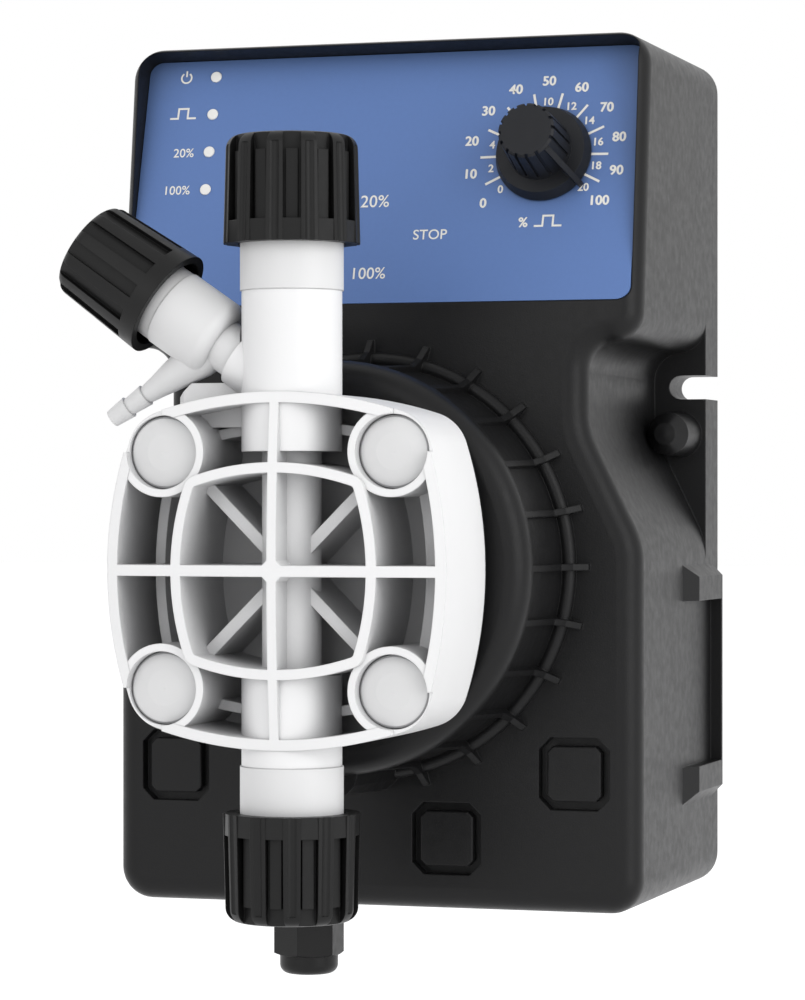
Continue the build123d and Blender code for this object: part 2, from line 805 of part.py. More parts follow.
def gland_seal():
    """Rubber sleeve inside the gland."""
    low = gland_hex + 3.0
    high = gland_hex + run + gland_nut_length + gland_dome - 2.6
    seal = turned((gland_bore, low), (gland_bore + 0.4, low), (gland_bore + 1.0, gland_hex + 5.5),
                  (gland_thread + 0.4, gland_hex + 5.6), (gland_thread + 0.4, high), (gland_bore, high))
    return gland_place(seal)


# ---------------------------------------------------------------- head
def place_screws(shape):
    """Copy a piece to the four corners of the head."""
    return [Pos(x, z) * shape for x, z in screw_places]


def port_rod(radius, low, high):
    """Cylinder on the axis of the ports, by height over the pump axis."""
    return Plane(origin=(0, 0, port_offset), x_dir=(1, 0, 0), z_dir=(0, 1, 0)) * rod(radius, low, high)


def pump_head():
    """Ribbed moulding with the pumping chamber, both ports and the bleed port."""
    outline = pillow(head_width, head_side_radius, head_corner)
    crown = head_depth + head_crown
    head = extrude(outline, head_depth + head_crown)
    inside = pillow(head_width, head_side_radius, head_corner, head_rim)
    head -= Pos(0, 0, head_floor) * extrude(inside, crown)
    ring = pillow(ring_width, ring_side_radius, ring_corner)
    web = extrude(ring - pillow(ring_width, ring_side_radius, ring_corner, ring_wall), crown)
    web += slab(rib_vertical, head_width - head_rim, 0, crown)
    web += slab(head_width - head_rim, rib_level, 0, crown)
    web += Rot(0, 0, 22.5) * extrude(RegularPolygon(hub_radius, 6 + 2), crown)
    land_width = head_width - 2 * land_inset
    land = pillow(land_width, head_side_radius - land_inset, land_corner)
    land -= pillow(land_width, head_side_radius - land_inset, land_corner, land_wall)
    web += extrude(land, land_depth)
    diagonal = slab(2 * sqrt(screw_x ** 2 + screw_up ** 2), diagonal_rib, 0, diagonal_depth)
    web += Rot(0, 0, 45) * diagonal
    web += Rot(0, 0, -45) * diagonal
    web += place_screws(rod(pocket_bore + pocket_wall, 0, pocket_depth))
    head += web & extrude(outline, crown)
    dome_radius = ((head_width / 2) ** 2 + head_crown ** 2) / (2 * head_crown)
    head &= Pos(0, 0, crown - dome_radius) * Sphere(dome_radius)

    # pipes of both ports, with a thinner tube between them
    head += port_rod(tube_radius, -pipe_low_inner - 2, pipe_top_inner + 2)
    head += port_rod(pipe_radius, pipe_top_inner, pipe_top_reach)
    head += port_rod(pipe_radius, -pipe_low_reach, -pipe_low_inner)
    head = head - extrude(outline, -5)
    head = facing(head_back) * head

    # block and boss that carry the bleed valve
    block_height = block_rise - head_width / 2 + block_sink
    block_length = block_front - block_back
    block = Box(block_reach, block_length, block_height, align=(Align.MAX, Align.MAX, Align.MAX))
    block = chamfer(block.edges().filter_by(Axis.Z).group_by(Axis.X)[0], block_corner)
    block -= Pos(-block_reach, 0, 0) * Rot(0, 45, 0) * Box(block_relief, 3 * block_length, block_relief)
    head += Pos(0, head_back - block_back, pump_axis + block_rise) * block
    head += bleed_frame * rod(bleed_boss_radius, 6, bleed_boss_reach)

    # screw pockets; the rim is set back round their outer corner
    channel = facing(head_back)
    for x, up in screw_places:
        corner = Pos(x * 2, up * 2, pocket_depth - pocket_relief) * slab(2 * abs(x), 2 * abs(up), 0, 6)
        head -= channel * corner
        head -= channel * Pos(x, up) * rod(pocket_bore, pocket_floor, crown + 1)
        head -= channel * Pos(x, up) * rod(screw_radius + 0.1, -1, pocket_floor + 1)

    # passages
    head -= channel * rod(chamber_radius, -1, chamber_depth)
    head -= channel * rod(channel_radius, 0, port_offset)
    head -= channel * port_rod(channel_radius, -pipe_low_reach, pipe_top_reach)
    head -= discharge_port * rod(shank_radius, -shank_length, 1)
    head -= suction_port * rod(shank_radius, -shank_length, 1)
    head -= bleed_frame * rod(bleed_channel, 0, bleed_boss_reach + 1)
    head -= bleed_frame * rod(bleed_spigot_radius, bleed_spigot_start, bleed_boss_reach + 1)
    return head


def head_backplate():
    """Plate between the boss and the head; it carries the diaphragm's rim."""
    plate = extrude(pillow(head_width, head_side_radius, head_corner, backplate_inset), backplate)
    plate -= rod(throat_radius, -1, backplate + 1)
    plate -= rod(diaphragm_radius + 0.1, backplate - diaphragm_rim, backplate + 1)
    plate -= place_screws(rod(screw_radius + 0.1, -1, backplate + 1))
    return facing(boss_front) * plate


def diaphragm():
    """Flexible disc: thick rim, thin web, thick centre."""
    disc = turned(
        (0, 0), (diaphragm_hub, 0), (diaphragm_hub + 1, diaphragm_rim - diaphragm_web),
        (chamber_radius, diaphragm_rim - diaphragm_web), (chamber_radius + 1, 0), (diaphragm_radius, 0),
        (diaphragm_radius, diaphragm_rim), (0, diaphragm_rim),
    )
    return facing(diaphragm_back) * disc


def diaphragm_insert():
    """Metal disc behind the diaphragm, with a socket for the rod."""
    disc = turned(
        (0, 0), (rod_radius + 3, 0), (insert_radius, 1.6),
        (insert_radius, insert_length), (0, insert_length),
    )
    disc -= rod(rod_radius + rod_clear, -1, insert_length - 1.2)
    return facing(insert_back) * disc


def head_screws():
    """Four screws through head, backplate and boss into the pole plate."""
    reach = backplate + wall + pole_plate - 1.5
    screw = rod(screw_radius, -reach, pocket_floor + 0.5)
    screw += rod(screw_head_radius, pocket_floor, pocket_floor + screw_head_length)
    screw -= hexagon(5.0, pocket_floor + screw_head_length - 3, pocket_floor + screw_head_length + 1)
    return Compound([facing(head_back) * s for s in place_screws(screw)])


def screw_caps():
    """Push-in caps over the head screws."""
    cap = turned(
        (screw_head_radius + 0.2, pocket_floor), (screw_head_radius + 1.8, pocket_floor),
        (screw_head_radius + 1.8, cap_depth - cap_skirt), (cap_radius, cap_depth - cap_skirt + 1.0),
        (cap_radius, cap_depth - 0.5), (cap_radius - 0.5, cap_depth),
        (cap_radius / 2, cap_depth + cap_dome * 0.75),
        (0, cap_depth + cap_dome), (0, cap_depth - 2.0), (screw_head_radius + 0.2, cap_depth - 2.0),
    )
    return Compound([facing(head_back) * c for c in place_screws(cap)])


# ---------------------------------------------------------------- solenoid
def pole_plate_piece():
    """Steel plate at the front of the solenoid; the head screws end in it."""
    plate = rod(solenoid_radius, 0, pole_plate)
    plate -= rod(bushing_radius, -1, pole_plate + 1)
    plate -= rod(spring_pocket, -1, spring_pocket_depth)
    plate -= place_screws(rod(screw_radius, 1.5, pole_plate + 1))
    return facing(pole_back) * plate


def rod_bushing():
    """Plain bearing of the push rod."""
    ring = rod(bushing_radius, spring_pocket_depth, pole_plate)
    ring -= rod(rod_radius + rod_clear, 0, pole_plate + 1)
    return facing(pole_back) * ring


def solenoid_yoke():
    """Steel can round the coil."""
    length = yoke_end - pole_back
    can = rod(solenoid_radius, 0, length) - rod(solenoid_radius - yoke_wall, yoke_back, length + 1)
    return facing(yoke_end) * can


def bobbin_inner():
    """Inside radius of the bobbin's barrel."""
    return armature_radius + armature_clear


def coil_bobbin():
    """Spool that the coil is wound on and the armature slides in."""
    length = yoke_end - yoke_back - pole_back
    barrel = bobbin_inner() + bobbin_wall
    outer = solenoid_radius - yoke_wall - 0.4
    spool = turned(
        (bobbin_inner(), 0), (outer, 0), (outer, bobbin_flange), (barrel, bobbin_flange),
        (barrel, length - bobbin_flange), (outer, length - bobbin_flange),
        (outer, length), (bobbin_inner(), length),
    )
    return facing(yoke_end - yoke_back) * spool


def solenoid_coil():
    """Copper winding on the bobbin."""
    length = yoke_end - yoke_back - pole_back
    coil = rod(solenoid_radius - yoke_wall - 3, bobbin_flange, length - bobbin_flange)
    coil -= rod(bobbin_inner() + bobbin_wall, 0, length)
    return facing(yoke_end - yoke_back) * coil


def armature():
    """Iron plunger drawn forward by the coil."""
    length = armature_back - armature_front
    plunger = rod(armature_radius, 0, length) - rod(rod_radius + rod_clear, length - 12, length + 1)
    plunger = chamfer(plunger.edges().group_by(Axis.Z)[0], 0.8)
    return facing(armature_back) * plunger


def push_rod():
    """Rod from the armature to the diaphragm's insert."""
    low = armature_front + 12
    high = diaphragm_back + 1.2
    return facing(low) * rod(rod_radius, 0, low - high)


def return_spring():
    """Coil spring that pushes the armature back."""
    floor = pole_back - spring_pocket_depth
    span = armature_front - floor
    pitch = (span - spring_wire) / spring_turns
    path = Helix(pitch=pitch, height=pitch * spring_turns, radius=spring_radius)
    section = Plane(origin=path @ 0, z_dir=path % 0) * Circle(spring_wire / 2)
    coil = Pos(0, 0, spring_wire / 2) * sweep(section, path, is_frenet=True)
    return facing(armature_front) * coil


def rear_bumper():
    """Rubber stop behind the armature."""
    return facing(yoke_end - yoke_back) * rod(bumper_radius, 0, bumper_length)


# ---------------------------------------------------------------- valves
# The ball rests on a 45 degree cone cut into the seat's face.
cone_depth = 1.3
cone_mouth = seat_bore + cone_depth
ball_rise = ball_radius * sqrt(2) - cone_mouth + 0.8 * run
chamber_length = ball_rise + ball_radius + ball_lift + ball_room


def seat_levels(outward):
    """Low end, face towards the ball, and high end of the seat, in the port's frame.

    outward is 1 where the flow leaves through the port and -1 where it enters.
    """
    if outward > 0:
        return -shank_length, -shank_length + seat_length, -shank_length + seat_length
    face = -shank_length + chamber_length
    return -shank_length, face, face + seat_length


def valve_body(outward):
    """Cartridge screwed into the pipe, with a collar and a thread; on the outlet it guides the ball."""
    low, face, high = seat_levels(outward)
    body = turned(
        (0, -shank_length), (shank_radius, -shank_length), (shank_radius, 0), (collar_radius, 0),
        (collar_radius, collar_show + collar_hidden), (thread_radius, collar_show + collar_hidden),
        (thread_radius, cartridge_length), (0, cartridge_length),
    )
    body -= rod(flow_bore, -shank_length - 1, cartridge_length + 1)
    groove = rod(shank_radius + 1, -seal_place - seal_wire - 0.2, -seal_place + seal_wire + 0.2)
    body -= groove - rod(shank_radius - 2 * seal_wire, -shank_length, 0)
    body -= rod(seat_radius, -shank_length - 1, high)
    if outward > 0:
        body -= rod(ball_radius + guide_room, face, face + chamber_length)
        flute = Pos(flute_place, 0) * rod(flute_radius, face, face + chamber_length + 3)
        body -= [Rot(0, 0, i * 120) * flute for i in range(3)]
    return body


def valve_seat(outward):
    """Seat that the ball closes on; on the inlet it also guides the ball."""
    low, face, high = seat_levels(outward)
    seat = rod(seat_radius - 0.02, low, high) - rod(seat_bore, low - 1, high + 1)
    if outward > 0:
        deep = face - cone_depth
    else:
        seat -= rod(ball_radius + guide_room, low - 1, face)
        deep = face + cone_depth
    over = face + outward * 0.01
    seat -= turned((0, deep), (seat_bore, deep), (cone_mouth + 0.01, over), (0, over))
    return seat


def valve_ball(outward):
    """Ceramic ball, closed."""
    face = seat_levels(outward)[1]
    return Pos(0, 0, face + outward * ball_rise) * Sphere(ball_radius)


def valve_seal():
    """O-ring on the cartridge's shank."""
    return Pos(0, 0, -seal_place) * Torus(shank_radius - seal_wire, seal_wire)


def hose_nozzle():
    """Nipple that the hose is pushed onto."""
    low = cartridge_length
    nozzle = turned(
        (nipple_bore, low), (nozzle_radius, low), (nozzle_radius, low + nozzle_flange),
        (nipple_radius, low + nozzle_flange), (nipple_radius, low + nozzle_flange + 3.5),
        (nipple_tip, low + nozzle_flange + nipple_length),
        (nipple_bore, low + nozzle_flange + nipple_length),
    )
    return nozzle


def clamp_ring():
    """Ring that the nut presses over the hose."""
    low = cartridge_length + nozzle_flange + run
    high = low + clamp_length
    return turned(
        (clamp_bore + 0.8, low), (nozzle_radius - 0.8, low), (nozzle_radius, low + 0.8),
        (nozzle_radius, high), (clamp_bore, high), (clamp_bore, low + 2.5),
    )


def hose_nut(rib_offset):
    """Ribbed union nut. Its open end points at the head."""
    low = collar_show
    high = low + nut_length
    shoulder = cartridge_length + nozzle_flange + clamp_length + 2 * run
    body = turned((0, low), (nut_rim_radius, low), (nut_end_radius, high), (0, high))
    body = fillet(body.edges().filter_by(GeomType.CIRCLE).group_by(Axis.Z)[-1], nut_round)
    pitch = 360 / nut_rib_count
    pocket_width = 2 * nut_rim_radius * sin(radians(pitch / 2)) - nut_rib_width
    reach = nut_rim_radius + 2
    pocket = Pos(nut_pocket_floor, 0, low + nut_band) * Box(
        reach - nut_pocket_floor, pocket_width, nut_length, align=(Align.MIN, Align.CENTER, Align.MIN)
    )
    panel_length = nut_length - nut_band - nut_panel_short + 0.5
    panel = Pos(nut_pocket_floor - 1, 0, low + nut_band - 0.5) * Box(
        nut_panel_radius - nut_pocket_floor + 1, nut_panel_width, panel_length,
        align=(Align.MIN, Align.CENTER, Align.MIN),
    )
    relief = Pos(nut_rim_radius - nut_band_relief, 0, low - 1) * Box(
        3, pocket_width, nut_band + 1.5, align=(Align.MIN, Align.CENTER, Align.MIN)
    )
    lean = degrees(atan2(nut_rim_radius - nut_end_radius, nut_length))
    groove = Pos(nut_rim_radius + nut_groove - nut_groove_depth, 0, low) * Rot(0, -lean, 0) * Cylinder(
        nut_groove, 2 * (nut_length - nut_round + 1.0)
    )
    body -= [Rot(0, 0, rib_offset + (i + 0.5) * pitch) * (pocket - panel) for i in range(nut_rib_count)]
    body -= [Rot(0, 0, rib_offset + (i + 0.5) * pitch) * relief for i in range(nut_rib_count)]
    body -= [Rot(0, 0, rib_offset + i * pitch) * groove for i in range(nut_rib_count)]
    body -= rod(collar_radius + 0.5, low - 1, low + collar_hidden + 1.0)
    body -= rod(thread_radius + run, low, cartridge_length + 1)
    body -= rod(nozzle_radius + 0.4, low, shoulder)
    body -= rod(nut_hole, low, high + 1)
    return body


# ---------------------------------------------------------------- bleed valve
def bleed_valve_body():
    """White body of the bleed valve, with its hose spout."""
    body = turned(
        (0, bleed_spigot_start), (bleed_spigot_radius, bleed_spigot_start),
        (bleed_spigot_radius, bleed_boss_reach),
        (bleed_neck_radius, bleed_boss_reach), (bleed_neck_radius, bleed_body_start + 0.8),
        (bleed_body_radius, bleed_body_start + 0.8), (bleed_body_radius, bleed_step_at),
        (bleed_body_radius - bleed_step, bleed_step_at), (bleed_body_radius - bleed_step, bleed_body_end),
        (bleed_male_radius, bleed_body_end), (bleed_male_radius, bleed_male_end), (0, bleed_male_end),
    )
    shoulder = [
        e for e in body.edges().filter_by(GeomType.CIRCLE)
        if abs(e.center().Z - bleed_body_start - 0.8) < 0.01 and e.radius > bleed_body_radius - 0.1
    ]
    body = fillet(shoulder, bleed_body_round)
    body = bleed_frame * body
    body += barb_frame() * spout()
    pipe = Plane(origin=(0, port_y, pump_axis)) * rod(pipe_radius + 0.3, 0, pipe_top_reach)
    body -= pipe & half_space(Plane(bleed_frame.location * Location((0, 0, bleed_boss_reach))))
    body -= bleed_frame * rod(bleed_channel, 0, bleed_male_end + 1)
    body -= bleed_frame * rod(bleed_chamber, bleed_seat_at, bleed_male_end + 1)
    body -= barb_frame() * rod(barb_bore, 4, barb_length + 1)
    return body


def barb_frame():
    """Frame of the spout: starts on the bleed axis, Z points out of the spout."""
    angle = radians(bleed_angle)
    x = -barb_crossing * cos(angle)
    z = bleed_height + barb_crossing * sin(angle)
    return Plane(
        origin=(x, port_y, z), x_dir=(0, 1, 0),
        z_dir=(-cos(radians(barb_angle)), 0, -sin(radians(barb_angle))),
    )


def spout():
    """Hose spout with two barbs and a flared root."""
    end = barb_length
    return turned(
        (0, 2), (barb_root, 2), (barb_root, 6.5), (barb_root - 0.7, 10.5), (barb_root - 1.35, 14.5),
        (barb_stem + 0.7, 18.5), (barb_stem + 0.3, 21.0),
        (barb_stem, end - 2 * barb_pitch), (barb_crest, end - 2 * barb_pitch),
        (barb_stem, end - barb_pitch), (barb_crest, end - barb_pitch), (barb_stem, end), (0, end),
    )


def bleed_spindle():
    """Needle that opens and closes the bleed valve."""
    tip = bleed_seat_at + 0.35
    spindle = turned(
        (0, tip), (bleed_channel - 0.3, tip), (bleed_chamber - 0.5, tip + 2.2),
        (bleed_chamber - 0.5, tip + 4),
        (bleed_chamber - 0.5, bleed_male_end), (2.6, bleed_male_end), (2.6, knob_start + knob_length - 4.5),
        (0, knob_start + knob_length - 4.5),
    )
    groove = rod(bleed_chamber + 1, tip + 8, tip + 10.2) - rod(bleed_chamber - 1.5, tip, tip + 20)
    return bleed_frame * (spindle - groove)


def bleed_spindle_seal():
    """O-ring on the spindle."""
    tip = bleed_seat_at + 0.35
    wire = 0.6
    return bleed_frame * Pos(0, 0, tip + 9.1) * Torus(bleed_chamber - 1.45 + wire, wire)


def bleed_knob():
    """Ribbed black cap that turns the spindle."""
    low = knob_start
    high = low + knob_length
    body = turned((0, low), (knob_rim_radius, low), (knob_end_radius, high), (0, high))
    body = fillet(body.edges().filter_by(GeomType.CIRCLE).group_by(Axis.Z)[-1], knob_round)
    lean = (knob_rim_radius - knob_end_radius) / knob_length
    pocket = Plane.XZ * extrude(make_face(Polyline(
        (knob_rim_radius - lean * knob_band - knob_pocket_depth, low + knob_band),
        (knob_rim_radius + 2, low + knob_band), (knob_rim_radius + 2, high + 1),
        (knob_end_radius - knob_pocket_depth, high + 1), close=True,
    )), knob_pocket_width / 2, both=True)
    body -= [Rot(0, 0, i * 360 / knob_rib_count) * pocket for i in range(knob_rib_count)]
    body -= rod(knob_mouth, low - 1, low + knob_mouth_depth)
    body -= rod(bleed_male_radius + run, low, bleed_male_end + 4.0)
    body -= rod(2.65, low, high - 4.0)
    return bleed_frame * body


# ---------------------------------------------------------------- all pieces
def build():
    """Every piece by name."""
    pieces = {
        "front_housing": front_housing(),
        "rear_cover": rear_cover(),
        "case_seal": case_seal(),
        "cover_screws": cover_screws(),
        "control_panel": control_panel(),
        "indicator_lights": indicator_lights(),
        "circuit_board": circuit_board(),
        "board_screws": board_screws(),
        "speed_potentiometer": speed_potentiometer(),
        "potentiometer_shaft": potentiometer_shaft(),
        "speed_knob": speed_knob(),
        "selector_switch": selector_frame(),
        "selector_rocker": selector_rocker(),
        "blanking_plugs": blanking_plugs(),
        "gland_body": gland_body(),
        "gland_locknut": gland_locknut(),
        "gland_nut": gland_nut(),
        "gland_seal": gland_seal(),
        "pump_head": pump_head(),
        "head_backplate": head_backplate(),
        "diaphragm": diaphragm(),
        "diaphragm_insert": diaphragm_insert(),
        "head_screws": head_screws(),
        "screw_caps": screw_caps(),
        "pole_plate": pole_plate_piece(),
        "rod_bushing": rod_bushing(),
        "solenoid_yoke": solenoid_yoke(),
        "coil_bobbin": coil_bobbin(),
        "solenoid_coil": solenoid_coil(),
        "armature": armature(),
        "push_rod": push_rod(),
        "return_spring": return_spring(),
        "rear_bumper": rear_bumper(),
        "bleed_valve_body": bleed_valve_body(),
        "bleed_spindle": bleed_spindle(),
        "bleed_spindle_seal": bleed_spindle_seal(),
        "bleed_knob": bleed_knob(),
    }
    for name, port, outward, rib_offset in (
        ("discharge", discharge_port, 1, nut_rib_turn - 90 + 180 / nut_rib_count),
        ("suction", suction_port, -1, 90 - nut_rib_turn),
    ):
        pieces[name + "_valve_body"] = port * valve_body(outward)
        pieces[name + "_valve_seat"] = port * valve_seat(outward)
        pieces[name + "_valve_ball"] = port * valve_ball(outward)
        pieces[name + "_valve_seal"] = port * valve_seal()
        pieces[name + "_nozzle"] = port * hose_nozzle()
        pieces[name + "_clamp_ring"] = port * clamp_ring()
        pieces[name + "_nut"] = port * hose_nut(rib_offset)
    return pieces


if __name__ == "__main__":
    os.makedirs("parts", exist_ok=True)
    to_origin = Pos(0, 0, -slot_height)
    for node, shape in build().items():
        export_step(to_origin * shape, "parts/" + node + ".step")
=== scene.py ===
import bpy
from math import cos, radians, sin, tan
from mathutils import Matrix, Vector


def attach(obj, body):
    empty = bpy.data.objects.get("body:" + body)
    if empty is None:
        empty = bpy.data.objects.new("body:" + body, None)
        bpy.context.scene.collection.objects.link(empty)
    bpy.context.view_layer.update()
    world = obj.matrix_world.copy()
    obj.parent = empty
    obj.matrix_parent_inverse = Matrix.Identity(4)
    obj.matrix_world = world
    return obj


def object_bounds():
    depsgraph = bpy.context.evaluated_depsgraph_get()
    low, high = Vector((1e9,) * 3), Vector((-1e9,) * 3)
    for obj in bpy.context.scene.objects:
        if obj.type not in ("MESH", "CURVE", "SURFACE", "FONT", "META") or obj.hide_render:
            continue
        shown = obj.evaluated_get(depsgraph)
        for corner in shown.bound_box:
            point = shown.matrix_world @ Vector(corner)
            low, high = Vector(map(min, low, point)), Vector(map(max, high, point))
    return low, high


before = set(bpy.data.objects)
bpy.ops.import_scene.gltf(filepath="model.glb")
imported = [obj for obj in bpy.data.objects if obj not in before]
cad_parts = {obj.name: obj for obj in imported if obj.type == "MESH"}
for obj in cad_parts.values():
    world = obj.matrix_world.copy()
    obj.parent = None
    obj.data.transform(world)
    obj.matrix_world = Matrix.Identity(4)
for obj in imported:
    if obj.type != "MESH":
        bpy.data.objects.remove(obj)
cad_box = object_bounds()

MM = 0.001
SLOT_HEIGHT = 129.7        # the wall slots over the underside of the case


def at(x, y, z):
    """Case millimetres (height over the underside) to the row frame in metres."""
    return Vector((x * MM, y * MM, (z - SLOT_HEIGHT) * MM))


# ------------------------------------------------------------------ camera
YAW = 0.3089               # turn of the view about the vertical, in radians
SENSOR = 36.0
LENS_RATIO = 3.6663        # focal length over sensor width
camera_data = bpy.data.cameras.new("view")
camera_data.sensor_width = SENSOR
camera_data.lens = SENSOR * LENS_RATIO
camera_data.clip_end = 20.0
camera = bpy.data.objects.new("view", camera_data)
bpy.context.scene.collection.objects.link(camera)
camera.location = at(282.0, -944.49, 100.42)
camera.rotation_euler = (radians(90), 0, YAW)
bpy.context.scene.view_settings.view_transform = "Standard"
bpy.context.scene.camera = camera


# ------------------------------------------------------------------ materials
def new_material(name):
    mat = bpy.data.materials.new(name)
    mat.use_nodes = True
    nodes, links = mat.node_tree.nodes, mat.node_tree.links
    nodes.clear()
    out = nodes.new("ShaderNodeOutputMaterial")
    bsdf = nodes.new("ShaderNodeBsdfPrincipled")
    links.new(bsdf.outputs["BSDF"], out.inputs["Surface"])
    coords = nodes.new("ShaderNodeTexCoord")
    return mat, nodes, links, bsdf, coords.outputs["Object"]


def noise(nodes, links, vector, scale, detail=2.0, rough=0.5):
    n = nodes.new("ShaderNodeTexNoise")
    n.inputs["Scale"].default_value = scale
    n.inputs["Detail"].default_value = detail
    n.inputs["Roughness"].default_value = rough
    links.new(vector, n.inputs["Vector"])
    return n.outputs["Fac"]


def span(nodes, links, value, low, high, lo_in=0.0, hi_in=1.0):
    m = nodes.new("ShaderNodeMapRange")
    m.inputs["From Min"].default_value = lo_in
    m.inputs["From Max"].default_value = hi_in
    m.inputs["To Min"].default_value = low
    m.inputs["To Max"].default_value = high
    links.new(value, m.inputs["Value"])
    return m.outputs["Result"]


def blend_colours(nodes, links, factor, a, b):
    m = nodes.new("ShaderNodeMix")
    m.data_type = "RGBA"
    links.new(factor, m.inputs["Factor"])
    for key, value in (("A", a), ("B", b)):
        socket = [s for s in m.inputs if s.name == key and s.type == "RGBA"][0]
        if hasattr(value, "node"):
            links.new(value, socket)
        else:
            socket.default_value = (*value, 1.0)
    return [s for s in m.outputs if s.type == "RGBA"][0]


def bump(nodes, links, height, strength, distance, normal=None):
    b = nodes.new("ShaderNodeBump")
    b.inputs["Strength"].default_value = strength
    b.inputs["Distance"].default_value = distance
    links.new(height, b.inputs["Height"])
    if normal is not None:
        links.new(normal, b.inputs["Normal"])
    return b.outputs["Normal"]


def soft_edges(nodes, radius):
    e = nodes.new("ShaderNodeBevel")
    e.samples = 4
    e.inputs["Radius"].default_value = radius
    return e.outputs["Normal"]


def moulded(name, colour, rough, grain=0.0, grain_scale=1800.0, edge=0.0004, mottle=0.12,
            gloss=0.5, spread=0.08, painted_shade_reach=0.0):
    """Moulded plastic: a faint mottle, uneven gloss, a fine spark-eroded grain and, where asked, painted
    shade that darkens its recesses.
    """
    mat, nodes, links, bsdf, co = new_material(name)
    bsdf.inputs["Specular IOR Level"].default_value = gloss
    cloud = noise(nodes, links, co, 35.0, 3.0)
    light = tuple(min(1.0, c * (1 + mottle)) for c in colour)
    dark = tuple(c * (1 - mottle) for c in colour)
    body = blend_colours(nodes, links, cloud, dark, light)
    if painted_shade_reach:
        # painted shade: by ambient occlusion over this reach, the base colour darkens towards a fifth of
        # itself in recesses
        ao = nodes.new("ShaderNodeAmbientOcclusion")
        ao.samples = 6
        ao.inputs["Distance"].default_value = painted_shade_reach
        ramp = span(nodes, links, ao.outputs["AO"], 0.0, 1.0, 0.3, 0.9)
        body = blend_colours(nodes, links, ramp, tuple(c * 0.2 for c in colour), body)
    links.new(body, bsdf.inputs["Base Color"])
    fine = noise(nodes, links, co, 420.0, 2.0)
    uneven = span(nodes, links, fine, rough - spread / 2, rough + spread / 2, 0.3, 0.7)
    links.new(uneven, bsdf.inputs["Roughness"])
    normal = soft_edges(nodes, edge) if edge else None
    if grain:
        pits = noise(nodes, links, co, grain_scale, 2.0, 0.6)
        normal = bump(nodes, links, pits, grain, 0.00012, normal)
    if normal is not None:
        links.new(normal, bsdf.inputs["Normal"])
    return mat


def white_plastic(name, reach=0.020, painted_shade=(0.5, 0.5, 0.505), edge=0.0004, pale=0.86):
    """Smooth white moulding with painted shade: its base colour greys in pockets by ambient occlusion."""
    mat, nodes, links, bsdf, co = new_material(name)
    # painted shade: ambient occlusion blends the clean white towards the shade colour in pockets
    ao = nodes.new("ShaderNodeAmbientOcclusion")
    ao.samples = 8
    ao.inputs["Distance"].default_value = reach
    ramp = span(nodes, links, ao.outputs["AO"], 0.0, 1.0, 0.22, 0.72)
    cloud = noise(nodes, links, co, 30.0, 3.0)
    clean = blend_colours(nodes, links, cloud, (pale - 0.02,) * 3, (pale + 0.02,) * 3)
    links.new(blend_colours(nodes, links, ramp, painted_shade, clean), bsdf.inputs["Base Color"])
    fine = noise(nodes, links, co, 600.0, 2.0)
    links.new(span(nodes, links, fine, 0.4, 0.5, 0.3, 0.7), bsdf.inputs["Roughness"])
    pits = noise(nodes, links, co, 2200.0, 2.0)
    links.new(bump(nodes, links, pits, 0.12, 0.0001, soft_edges(nodes, edge)), bsdf.inputs["Normal"])
    return mat


def metal(name, colour, rough, stretch=(1.0, 1.0, 40.0)):
    """Machined metal with fine tool marks."""
    mat, nodes, links, bsdf, co = new_material(name)
    bsdf.inputs["Metallic"].default_value = 1.0
    mapping = nodes.new("ShaderNodeMapping")
    mapping.inputs["Scale"].default_value = stretch
    links.new(co, mapping.inputs["Vector"])
    marks = noise(nodes, links, mapping.outputs["Vector"], 300.0, 3.0)
    dull = tuple(c * 0.85 for c in colour)
    links.new(blend_colours(nodes, links, marks, dull, colour), bsdf.inputs["Base Color"])
    links.new(span(nodes, links, marks, rough - 0.07, rough + 0.07), bsdf.inputs["Roughness"])
    links.new(bump(nodes, links, marks, 0.15, 0.00005), bsdf.inputs["Normal"])
    return mat


def panel_blue(name):
    """Matt printed blue sheet with painted shade, a little darker towards its edges and beside raised parts.
    """
    mat, nodes, links, bsdf, co = new_material(name)
    fine = noise(nodes, links, co, 900.0, 2.0)
    body = blend_colours(nodes, links, fine, (0.092, 0.18, 0.43), (0.106, 0.198, 0.46))
    # painted shade: ambient occlusion darkens the blue towards a dark blue near edges and raised parts
    ao = nodes.new("ShaderNodeAmbientOcclusion")
    ao.samples = 6
    ao.inputs["Distance"].default_value = 0.012
    ramp = span(nodes, links, ao.outputs["AO"], 0.0, 1.0, 0.3, 0.85)
    links.new(blend_colours(nodes, links, ramp, (0.045, 0.085, 0.19), body), bsdf.inputs["Base Color"])
    links.new(span(nodes, links, fine, 0.5, 0.6, 0.3, 0.7), bsdf.inputs["Roughness"])
    links.new(bump(nodes, links, noise(nodes, links, co, 3000.0), 0.08, 0.00005), bsdf.inputs["Normal"])
    return mat


BLACK = (0.0088, 0.0088, 0.0092)
case_black = moulded("case black", BLACK, 0.38, grain=0.3, grain_scale=2600.0, edge=0.0005, mottle=0.05,
                     gloss=0.2)
# the nuts carry painted shade in their grip pockets
nut_black = moulded("nut black", (0.0105, 0.0105, 0.0105), 0.4, grain=0.1, grain_scale=3000.0, edge=0.0003,
                    gloss=0.2, painted_shade_reach=0.004)
knob_black = moulded("knob black", (0.011, 0.012, 0.015), 0.5, grain=0.1, grain_scale=3000.0, edge=0.0002,
                     gloss=0.25)
gland_black = moulded("gland black", (0.0095, 0.0095, 0.0095), 0.38, grain=0.06, edge=0.0003, gloss=0.22)
rubber = moulded("rubber", (0.018, 0.018, 0.018), 0.7, grain=0.2, edge=0)
